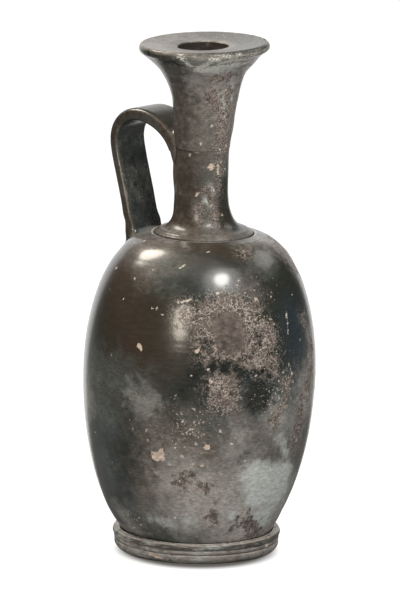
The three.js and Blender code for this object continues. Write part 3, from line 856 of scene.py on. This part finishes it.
def throw_body():
    """The body, with its marks placed on its outside."""
    points, normals, faces = thrown(body_outline(), BODY_SEGMENTS, True)
    wall = body_radius(np.clip(points[:, 2], BODY_BASE, SHOULDER_LEVEL))
    outer = np.hypot(points[:, 0], points[:, 1]) > wall - SKIN_DEPTH
    outside = points[outer]
    level = outside[:, 2]
    fired = as_fired(outside)
    dents = cloud(outside, DENT_GRAIN, 1, 2)
    fields = {}
    for field, (strength, marks, softness, *unseen) in BODY_WEAR.items():
        seen = marked(fired, marks, softness)
        fields[field] = strength * np.maximum(seen, marked(fired, unseen_marks(*unseen), softness))
    radius = np.hypot(outside[:, 0], outside[:, 1])
    by_groove = bell(radius, GROOVE_OUTER + 1, GROOVE_FILM_WIDTH) * smooth(*GROOVE_FILM_LEVELS, level)
    fields["film"] = np.maximum(fields["film"], (1.8 + 0.4 * dents) * by_groove - 1)
    # Veins and pits, but not where the patch is rubbed smooth
    fields["veined"] = np.minimum(fields["worn"], 1 - 1.6 * np.maximum(marked(fired, CALM, CALM_EDGE), 0))
    fields["pitted"] = fields["veined"]
    wear = no_wear(points)
    for field, values in fields.items():
        wear[field][outer] = values

    rings = sum(depth * np.sin(level * 2 * math.pi / spacing) for depth, spacing in TURNING_RINGS)
    lift = DENT_DEPTH * dents + rings * smooth(*RINGS_FADE, level)
    lift -= WORN_DEPTH * smooth(0.5, 0.9, fields["worn"]) * (1 + 0.5 * cloud(outside, 3, 20, 3))
    lift -= CHIP_DEPTH * smooth(0.45, 0.7, fields["chip"])
    points[outer] += normals[outer] * lift[:, None]
    add_piece("thrown_body", as_fired(points), faces, wear, "body", body_gloss)


throw_body()


# The wear of the other pieces, and the light and shade painted with it, is added up from places and clouds,
# and the number before each says how much it adds. From half upwards a kind of wear covers the slip; below
# that, its ragged edge leaves some spots.

# Foot

FOOT_CHIP_DEPTH = 0.4
FOOT_DENTS = 0.05


def throw_foot():
    """The foot, rubbed on the crests of its bands, with painted light on its crests and painted shade in
    its grooves.
    """
    points, normals, faces = thrown(foot_outline(), FINE_SEGMENTS, False)
    fired = as_fired(points)
    across = points @ VIEWER_RIGHT
    crest_rub_and_light = np.interp(points[:, 2], *zip(*RUBBED_AND_PAINTED_LIGHT))
    wear = no_wear(points)
    wear["mist"] = 0.35 + 0.35 * cloud(points, 16, 35, 2) + 0.4 * crest_rub_and_light
    wear["worn"] = 0.3 * cloud(points, 10, 5, 3) + 0.3 * crest_rub_and_light
    wear["pitted"] = wear["worn"]
    wear["haze"] = 0.32 + 0.35 * cloud(points, 14, 4, 3) + 0.6 * crest_rub_and_light
    wear["film"] = 0.06 + 0.45 * cloud(points, 9, 27, 3) + 0.6 * crest_rub_and_light
    wear["bloom"] = 0.2 + 0.3 * cloud(points, 12, 21, 2) + 0.1 * smooth(20, -30, across)
    wear["chip"] = marked(fired, FOOT_CHIPS, CHIP_EDGE)
    wear["specks"] = 0.2 + 0.7 * crest_rub_and_light
    wear["fleck"] = marked(fired, OTHER_FLECKS, FLECK_EDGE)
    wear["warm"] = 0.7 + 0.4 * cloud(points, 30, 6, 2)
    lift = FOOT_DENTS * cloud(points, 6, 3, 3) - FOOT_CHIP_DEPTH * smooth(0.4, 0.8, wear["chip"])
    points = points + normals * lift[:, None]
    add_piece("thrown_foot", as_fired(points), faces, wear, "foot", foot_gloss)


throw_foot()


# Neck

NECK_DENTS = 0.1
# The spigots and the bore are within this radius, and stay true
NECK_INSIDE = 12


def throw_neck():
    """The neck, brown on the viewer's left and worn on the viewer's right."""
    points, normals, faces = thrown(neck_outline(), NECK_SEGMENTS, False)
    fired = as_fired(points)
    level = points[:, 2]
    across = points @ VIEWER_RIGHT
    collar = smooth(164, 158, level)
    high = smooth(183, 193, level)
    right_half, right_side = smooth(-8, 2, across), smooth(-7, 5, across)
    right_face, far_right = smooth(-2, 6, across), smooth(2, 11, across)
    clean_edge = smooth(7, 11, across) * smooth(188, 182, level) * (1 - collar)
    wear = no_wear(points)
    wear["mist"] = 0.02 + 0.38 * right_half + 0.15 * collar
    wear["mist"] += 0.15 * cloud(points, 14, 33, 2)
    wear["haze"] = 0.3 * right_side * (0.6 + 0.4 * high) + 0.3 * collar
    wear["haze"] += 0.2 * cloud(points, 9, 22, 3)
    wear["film"] = 0.12 * right_face * high + 0.1 * collar - 0.08
    wear["film"] += 0.25 * cloud(points, 7, 27, 3)
    wear["bloom"] = 0.12 * far_right * high + 0.15 * cloud(points, 9, 23, 3)
    wear["bloom"] = np.maximum(wear["bloom"], 0.8 * marked(fired, GREY_FILM, PATCH_EDGE))
    for field in ("mist", "haze", "film"):
        wear[field] -= 0.7 * clean_edge
    wear["worn"] = 0.2 * smooth(0, 9, across) * high - 0.1
    wear["worn"] = np.maximum(wear["worn"], marked(fired, NECK_WORN, PATCH_EDGE))
    wear["pitted"] = wear["veined"] = wear["worn"]
    wear["chip"] = marked(fired, CHIPS, CHIP_EDGE)
    wear["specks"] = 0.6 * smooth(0, 8, across)
    wear["fleck"] = marked(fired, OTHER_FLECKS, FLECK_EDGE)
    wear["warm"] = 0.8 * smooth(9, -2, across) + 0.2
    lift = NECK_DENTS * cloud(points, 16, 7, 3) * (np.hypot(*points.T[:2]) > NECK_INSIDE)
    points = points + normals * lift[:, None]
    add_piece("thrown_neck", as_fired(points), faces, wear, "neck", satin_gloss)


throw_neck()


# Mouth

# The well's wall is painted dark with shade inside these radii
WELL_RADII = (12.0, 12.6)
# Under the viewer's right side of the lip the clay swells, most at this level
LIP_SWELL_LEVEL = 241.5
LIP_SWELL_HEIGHT = 4
LIP_SWELL = 1.2
NOTCH_DEPTH = 1.3
LIME_THICKNESS = 0.3
MOUTH_DENTS = 0.08


def throw_mouth():
    """The mouth, crusted with lime under its lip, notched on its far edge, with painted shade down its well
    and under its lip's left side.
    """
    points, normals, faces = thrown(mouth_outline(), FINE_SEGMENTS, False)
    fired = as_fired(points)
    level = points[:, 2]
    across = points @ VIEWER_RIGHT
    radius = np.hypot(*points.T[:2])
    on_top = smooth(TOP_LEVEL - 1.6, TOP_LEVEL - 0.8, level) * smooth(12, 14, radius)
    in_well = 1 - smooth(*WELL_RADII, radius)
    under_lip = smooth(222, 232, level) * (1 - on_top)
    rightward = smooth(-12, 4, across) * (1 - on_top)
    leftward = smooth(8, -20, across) - smooth(4, 22, across)
    wear = no_wear(points)
    wear["mist"] = 0.1 + 0.4 * rightward + 0.15 * on_top
    wear["haze"] = 0.1 + 0.4 * rightward + (0.25 + 0.29 * leftward) * on_top
    wear["haze"] += 0.15 * cloud(points, 12, 24, 3)
    wear["film"] = 0.35 * smooth(-14, -4, across) * under_lip + (0.02 + 0.2 * leftward) * on_top
    wear["film"] += 0.25 * cloud(points, 8, 28, 3) + 0.1 * rightward
    wear["bloom"] = 0.2 * smooth(0, 14, across) * (1 - on_top) + 0.15 * cloud(points, 10, 25, 3)
    wear["bloom"] = np.maximum(wear["bloom"], 0.8 * marked(fired, GREY_FILM, PATCH_EDGE))
    wear["worn"] = 0.25 * smooth(3, 14, across) + 0.15 * cloud(points, 12, 10, 3) - 0.2 * on_top
    wear["worn"] = np.maximum(wear["worn"], marked(fired, NECK_WORN, PATCH_EDGE))
    wear["specks"] = 0.8 * smooth(-2, 10, across)
    for field in ("mist", "haze", "film", "bloom", "worn", "specks"):
        wear[field] -= 2 * in_well
    wear["pitted"] = wear["veined"] = wear["worn"]
    # Painted shade: the inside layer darkens the well's wall
    wear["inside"] = 2 * in_well
    # Painted shade under the lip's left side, put into the glossy_dark layer
    wear["glossy_dark"] = marked(fired, LIP_SHADE, PATCH_EDGE)
    wear["chip"] = marked(fired, CHIPS, CHIP_EDGE)
    wear["lime"] = marked(fired, LIP_LIME, LIME_EDGE)
    wear["fleck"] = marked(fired, OTHER_FLECKS, FLECK_EDGE)
    wear["warm"] = 0.7 * smooth(12, -4, across) * smooth(240, 225, level) + 0.15

    notches = []
    for aside, wide in RIM_NOTCHES:
        back = math.sqrt(max(LIP_RADIUS ** 2 - aside ** 2, 0))
        notches.append(([VIEWER_RIGHT * aside - TOWARD_VIEWER * back + (0, 0, TOP_LEVEL)], wide))
    lift = MOUTH_DENTS * cloud(points, 14, 11, 3) * (radius > NECK_BORE + 1)
    lift -= NOTCH_DEPTH * smooth(0.3, 0.9, marked(points, notches, NOTCH_EDGE))
    swell = smooth(8, 24, across) * bell(level, LIP_SWELL_LEVEL, LIP_SWELL_HEIGHT) * (radius > 18)
    lift += LIP_SWELL * swell
    lift += LIME_THICKNESS * smooth(0.4, 0.8, wear["lime"]) * (1 + cloud(points, 1.8, 13, 2))
    points = points + normals * lift[:, None]
    add_piece("thrown_mouth", as_fired(points), faces, wear, "mouth", satin_gloss)


throw_mouth()


# Handle

# The root's tail runs on down inside the neck, to this radius and this far below the root, where it is this
# share of the strap's width, so that the strap melts into the neck
TAIL_RADIUS = 3.6
TAIL_LENGTH = 14
TAIL_WIDTH = 0.5
# Under the arch, near the neck, the strap is thicker by this share
UNDER_SWELL = 0.3
# How much wider and thicker it is at its root on the neck, and at its landing
UPPER_SWELL = (1.2, 0.8)
LOWER_SWELL = (0.8, 1.6)
# The strap is luted on with wet clay, wiped to a fillet against the neck and the shoulder
NECK_FILLET = 2.6
SHOULDER_FILLET = 3.8
# Above this level the strap meets the neck, within this radius; below it, the shoulder
NECK_ROOT_FROM = 165
NECK_ROOT_REACH = 26
# The root rises out of the neck from this level, a little proud of it in the middle and sunk at its sides
ROOT_LEVEL = 187
ROOT_PROUD = 0.9
ROOT_DEPTH = 1.2
# How far it rises out over the first so many mm, a little steeper as it goes, from just under the skin
ROOT_RISE = 2.7
ROOT_RISE_OVER = 10
ROOT_RISE_POWER = 1.1
ROOT_START = -0.15
# Between these levels it leaves the neck, and above them it stands free
LEAVING_LEVELS = (196, 202)
FREE = 50
STRAP_DENTS = 0.06
# A highlight is painted on the inner face under the crown, and the face is rubbed by fingers lower down
CROWN_HIGHLIGHT_LEVEL = 195
CROWN_HIGHLIGHT_HEIGHT = 4


def strap_section(width, thickness):
    """A pulled strap's section: flat faces, well rounded edges, as places across and through it."""
    corner = min(HANDLE_CORNER, thickness / 2 - 0.3)
    half_width, half_thickness = width / 2 - corner, thickness / 2 - corner
    stretches = []
    for first, x, y in ((0, 1, 1), (90, -1, 1), (180, -1, -1), (270, 1, -1)):
        stretches.append(arc((x * half_width, y * half_thickness), corner, corner, first, first + 90, 6))
        following = stretches[-1][-1]
        if x * y > 0:
            stretches.append(line(following, following - (x * 2 * half_width, 0), 22)[1:])
    return np.concatenate(stretches)


def strap_grid():
    """The strap as pulled and bent, with a row of points for each place along it."""
    spine = handle_centreline(90)
    spine = np.concatenate([line((TAIL_RADIUS, spine[0, 1] - TAIL_LENGTH), spine[0], 18), spine])
    length = np.concatenate([[0], np.cumsum(np.linalg.norm(np.diff(spine, axis=0), axis=1))])
    along = np.gradient(spine, axis=0)
    along /= np.linalg.norm(along, axis=1)[:, None]
    tail = 1 - smooth(2, 26, length)
    upper = 1 - smooth(18, 40, length)
    lower = 1 - smooth(0, 22, length[-1] - length)
    widths = HANDLE_WIDTH + UPPER_SWELL[0] * upper + LOWER_SWELL[0] * lower
    widths *= 1 - (1 - TAIL_WIDTH) * tail
    thicknesses = HANDLE_THICKNESS + UPPER_SWELL[1] * upper + LOWER_SWELL[1] * lower
    under = 1 + UNDER_SWELL * smooth(10, 20, length) * smooth(66, 48, length)
    rows = []
    for (out, up), (run, climb), width, thickness, thicker in zip(spine, along, widths, thicknesses, under):
        across, through = strap_section(width, thickness).T
        through = np.where(through < 0, through * thicker, through)
        rows.append(np.stack([climb * through - out, across, up + run * through], axis=1))
    return np.stack(rows)


def luted(points, normals, outside):
    """Wipes the strap's ends into fillets, and keeps what lies inside the neck just under its skin."""
    level = points[:, 2]
    place = np.stack([np.hypot(points[:, 0], points[:, 1]), level], axis=1)
    clear = np.min(np.linalg.norm(place[:, None, :] - outside[None, :, :], axis=2), axis=1)
    depth = np.interp(level, outside[:, 1], outside[:, 0]) - place[:, 0]
    clear = np.where(depth > 0, 0, clear)
    fillet = np.where(level < NECK_ROOT_FROM, SHOULDER_FILLET, NECK_FILLET)
    reach = fillet - np.sqrt(np.maximum(fillet ** 2 - np.maximum(fillet - clear, 0) ** 2, 0))
    swell = np.minimum(reach, fillet * 0.8) * smooth(2.2, 0.2, depth)
    points = points + normals * (swell + STRAP_DENTS * cloud(points, 12, 15, 3))[:, None]

    level = points[:, 2]
    radius = np.hypot(points[:, 0], points[:, 1])
    skin = np.interp(level, outside[:, 1], outside[:, 0])
    middle = smooth(7, 1, np.abs(points[:, 1]))
    proud = ROOT_PROUD * smooth(ROOT_LEVEL - 12, ROOT_LEVEL, level) * middle
    rise = ROOT_RISE * (np.maximum(level - ROOT_LEVEL, 0) / ROOT_RISE_OVER) ** ROOT_RISE_POWER
    rise += ROOT_START + FREE * smooth(*LEAVING_LEVELS, level) + proud
    sunk = ROOT_DEPTH * (1 - 0.7 * smooth(183, 189, level)) * (1 - middle) - proud
    by_neck = (level > NECK_ROOT_FROM) & (radius < NECK_ROOT_REACH)
    kept = np.where(by_neck, np.minimum(radius, skin + rise), radius)
    kept = np.where(level > NECK_ROOT_FROM, np.maximum(kept, skin - sunk), kept)
    points[:, :2] *= (kept / np.maximum(radius, 1e-6))[:, None]
    return points


def pull_handle():
    """The strap handle, rubbed brown along its edges, with painted highlights where its edges face up or
    inwards and under its crown.
    """
    grid = strap_grid()
    rows, sides = grid.shape[:2]
    normals = -grid_normals(grid).reshape(-1, 3)
    strap = grid.reshape(-1, 3)
    outward = np.hypot(strap[:, 0], strap[:, 1])
    points = luted(strap, normals, np.concatenate([wall_line, neck_wall(60), mouth_wall(60)]))
    level = points[:, 2]
    edge = smooth(HANDLE_WIDTH / 2 - 2.2, HANDLE_WIDTH / 2 - 0.6, np.abs(points[:, 1]))
    top_face = smooth(0.2, 0.8, normals[:, 2])
    inner_face = smooth(0.1, 0.7, normals[:, 0])
    # Painted highlight: a light line along the strap's edge where it faces up or inwards, with a little
    # wear
    ridge_highlight_and_wear = bell(normals[:, 1], -0.75, 0.13) * smooth(-0.1, 0.3, normals[:, 0] + normals[:, 2])
    # Painted highlight on the inner face under the crown
    painted_crown_highlight = inner_face * bell(level, CROWN_HIGHLIGHT_LEVEL, CROWN_HIGHLIGHT_HEIGHT)
    rubbed = inner_face * smooth(162, 168, level) * smooth(190, 180, level)
    wear = no_wear(points)
    wear["mist"] = 0.1 + 0.1 * inner_face + 0.3 * ridge_highlight_and_wear + 0.3 * painted_crown_highlight
    wear["mist"] += 0.15 * cloud(points, 14, 34, 2)
    wear["haze"] = 0.1 * top_face + 0.15 * smooth(30, 14, outward) + 0.3 * ridge_highlight_and_wear + 0.1 * rubbed
    wear["film"] = 0.12 * ridge_highlight_and_wear + 0.2 * painted_crown_highlight + 0.1 * rubbed - 0.1
    wear["film"] += 0.15 * cloud(points, 8, 29, 2)
    wear["bloom"] = 0.15 * cloud(points, 12, 26, 2) - 0.05
    wear["worn"] = 0.15 * ridge_highlight_and_wear + 0.12 * cloud(points, 10, 16, 3) - 0.15
    wear["pitted"] = wear["worn"]
    wear["specks"] = 0.6 * rubbed
    wear["fleck"] = np.full(len(points), 0.05)
    wear["cool"] = 0.05 + 0.35 * inner_face - 0.4 * edge
    wear["warm"] = 0.9 * edge + 0.4 * top_face + 0.5 * smooth(34, 16, outward)
    faces = quads(rows, sides, False)[:, ::-1].tolist()
    last = len(points) - 1
    faces += [list(range(sides)), list(range(last, last - sides, -1))]
    add_piece("pulled_handle", as_fired(points), faces, wear, "handle", handle_gloss)


pull_handle()


# Floor, backdrop and lamps

FLOOR_REACH = 9
CARD_GREY = "#686867"
WHITE = "#ffffff"
# How strongly the floor's white shows in the gloss, against its white to the eye
FLOOR_MIRRORED = 0.03
# How much soft light it throws up at the pot
FLOOR_BOUNCE = 0.55
# A shadow is painted close round the foot, a little towards the viewer, where the card's glow is left out
# over its own shading; the card is white again at the end
SHADOW_SHIFT = 0.01
SHADOW_CENTRE = Vector(TOWARD_VIEWER) * SHADOW_SHIFT
SHADOW_EDGE = (0.0325, 0.043)
# The white sweep fills what lies behind the pot; its edge, as cosines from straight behind
BACKDROP_AZIMUTH = math.radians(227.6)
SWEEP_EDGE = (0.81, 0.87)
BEHIND = (math.sin(BACKDROP_AZIMUTH), -math.cos(BACKDROP_AZIMUTH), 0)
# The room's light on the pot, and how bright the rest of it shows in the gloss
ROOM_LIGHT = 0.22
ROOM_SEEN = 0.05


def mirror_rays(tree, path):
    """1 on the rays that come from a mirror image or through glass, 0 on others."""
    rays = {0: path.outputs["Is Glossy Ray"], 1: path.outputs["Is Transmission Ray"]}
    return add(tree, "Math", rays, operation="ADD").outputs[0]


def sweep_towards(tree, direction, least):
    """1 in directions where the white sweep stands behind the pot, and least in the others."""
    facing = add(tree, "VectorMath", {0: direction, 1: BEHIND}, operation="DOT_PRODUCT").outputs["Value"]
    return add(tree, "MapRange", {
        "Value": facing, "From Min": SWEEP_EDGE[0], "From Max": SWEEP_EDGE[1], "To Min": least,
    }).outputs[0]


def pale_card():
    """Pale matt card, a smooth paper board, which the eye sees as even white where no shadow falls, with a
    shadow painted close round the pot's foot.
    """
    card = bpy.data.materials.new("pale_card")
    card.use_nodes = True
    tree = card.node_tree
    tree.nodes.clear()
    path = add(tree, "LightPath")
    spot = add(tree, "TexCoord").outputs["Object"]
    toward = add(tree, "VectorMath", {0: spot}, operation="NORMALIZE").outputs[0]
    lit_part = sweep_towards(tree, toward, FLOOR_MIRRORED)
    thrown_up = add(tree, "Math", {
        0: path.outputs["Is Diffuse Ray"], 1: FLOOR_BOUNCE, 2: path.outputs["Is Camera Ray"],
    }, operation="MULTIPLY_ADD").outputs[0]
    seen = add(tree, "Math", {
        0: mirror_rays(tree, path), 1: lit_part, 2: thrown_up,
    }, operation="MULTIPLY_ADD").outputs[0]
    # Painted shadow: the glow fades out close round the foot
    away = add(tree, "VectorMath", {0: spot, 1: SHADOW_CENTRE}, operation="DISTANCE").outputs["Value"]
    beyond_painted_shadow = add(tree, "MapRange", {
        "Value": away, "From Min": SHADOW_EDGE[0], "From Max": SHADOW_EDGE[1],
    }, interpolation_type="SMOOTHSTEP").outputs[0]
    glow = add(tree, "Math", {0: seen, 1: beyond_painted_shadow}, operation="MULTIPLY").outputs[0]
    matt = add(tree, "BsdfDiffuse", {"Color": rgb(CARD_GREY)}).outputs[0]
    lit = add(tree, "Emission", {"Color": rgb(WHITE), "Strength": glow}).outputs[0]
    both = add(tree, "AddShader", {0: matt, 1: lit}).outputs[0]
    add(tree, "OutputMaterial", {"Surface": both})
    return card


corners = [(x * FLOOR_REACH, y * FLOOR_REACH, 0) for x, y in ((-1, -1), (1, -1), (1, 1), (-1, 1))]
floor_mesh = bpy.data.meshes.new("floor")
floor_mesh.from_pydata(corners, [], [(0, 1, 2, 3)])
floor_mesh.materials.append(pale_card())
floor = bpy.data.objects.new("floor", floor_mesh)
bpy.context.collection.objects.link(floor)


def studio():
    """The white backdrop stands behind the pot, and the rest of the room is dim."""
    world = bpy.data.worlds.new("studio")
    world.use_nodes = True
    tree = world.node_tree
    tree.nodes.clear()
    direction = add(tree, "TexCoord").outputs["Generated"]
    path = add(tree, "LightPath")
    mirrored = add(tree, "Math", {
        0: mirror_rays(tree, path), 1: sweep_towards(tree, direction, ROOM_SEEN),
    }, operation="MULTIPLY").outputs[0]
    strength = add(tree, "Mix", {0: path.outputs["Is Camera Ray"], 2: mirrored, 3: 1.0}).outputs[0]
    strength = add(tree, "Math", {
        0: path.outputs["Is Diffuse Ray"], 1: ROOM_LIGHT, 2: strength,
    }, operation="MULTIPLY_ADD").outputs[0]
    background = add(tree, "Background", {"Color": rgb(WHITE), "Strength": strength}).outputs[0]
    add(tree, "OutputWorld", {"Surface": background})
    return world


bpy.context.scene.world = studio()

LAMP_DISTANCE = 1.3
LAMP_AIM = Vector((0, 0, 0.13))
# Where each lamp stands, in degrees round the pot and above the floor, how wide and high it looks from
# there in degrees, its brightness against white paper, and its colour
LAMPS = {
    "white_key": (72, 48, 15, 13, 34, "#fffdf8"),
    "key_halo": (73, 47, 40, 34, 2.8, "#fffaf0"),
    "warm_bank": (-77, 47, 20, 24, 20, "#fff6e8"),
    "ceiling": (10, 70, 70, 40, 0.9, "#ffedd8"),
    "low_warm_strip": (22, 17, 14, 19, 18, "#fff3e2"),
    "soft_back_light": (160, 40, 34, 20, 2.5, "#fbf6ee"),
}
for name, (lamp_azimuth, elevation, wide, high, brightness, tint) in LAMPS.items():
    data = bpy.data.lights.new(name, "AREA")
    data.shape = "ELLIPSE"
    data.size = 2 * LAMP_DISTANCE * math.tan(math.radians(wide / 2))
    data.size_y = 2 * LAMP_DISTANCE * math.tan(math.radians(high / 2))
    # An elliptical lamp's power is its brightness times pi times its area
    data.energy = brightness * math.pi * data.size * data.size_y * math.pi / 4
    data.color = rgb(tint)[:3]
    lamp = bpy.data.objects.new(name, data)
    bpy.context.collection.objects.link(lamp)
    lamp.visible_camera = False
    turn, rise = math.radians(lamp_azimuth), math.radians(elevation)
    out = Vector((math.sin(turn) * math.cos(rise), -math.cos(turn) * math.cos(rise), math.sin(rise)))
    lamp.location = LAMP_AIM + out * LAMP_DISTANCE
    lamp.rotation_euler = (-out).to_track_quat("-Z", "Y").to_euler()

bpy.context.scene.view_settings.view_transform = "Standard"
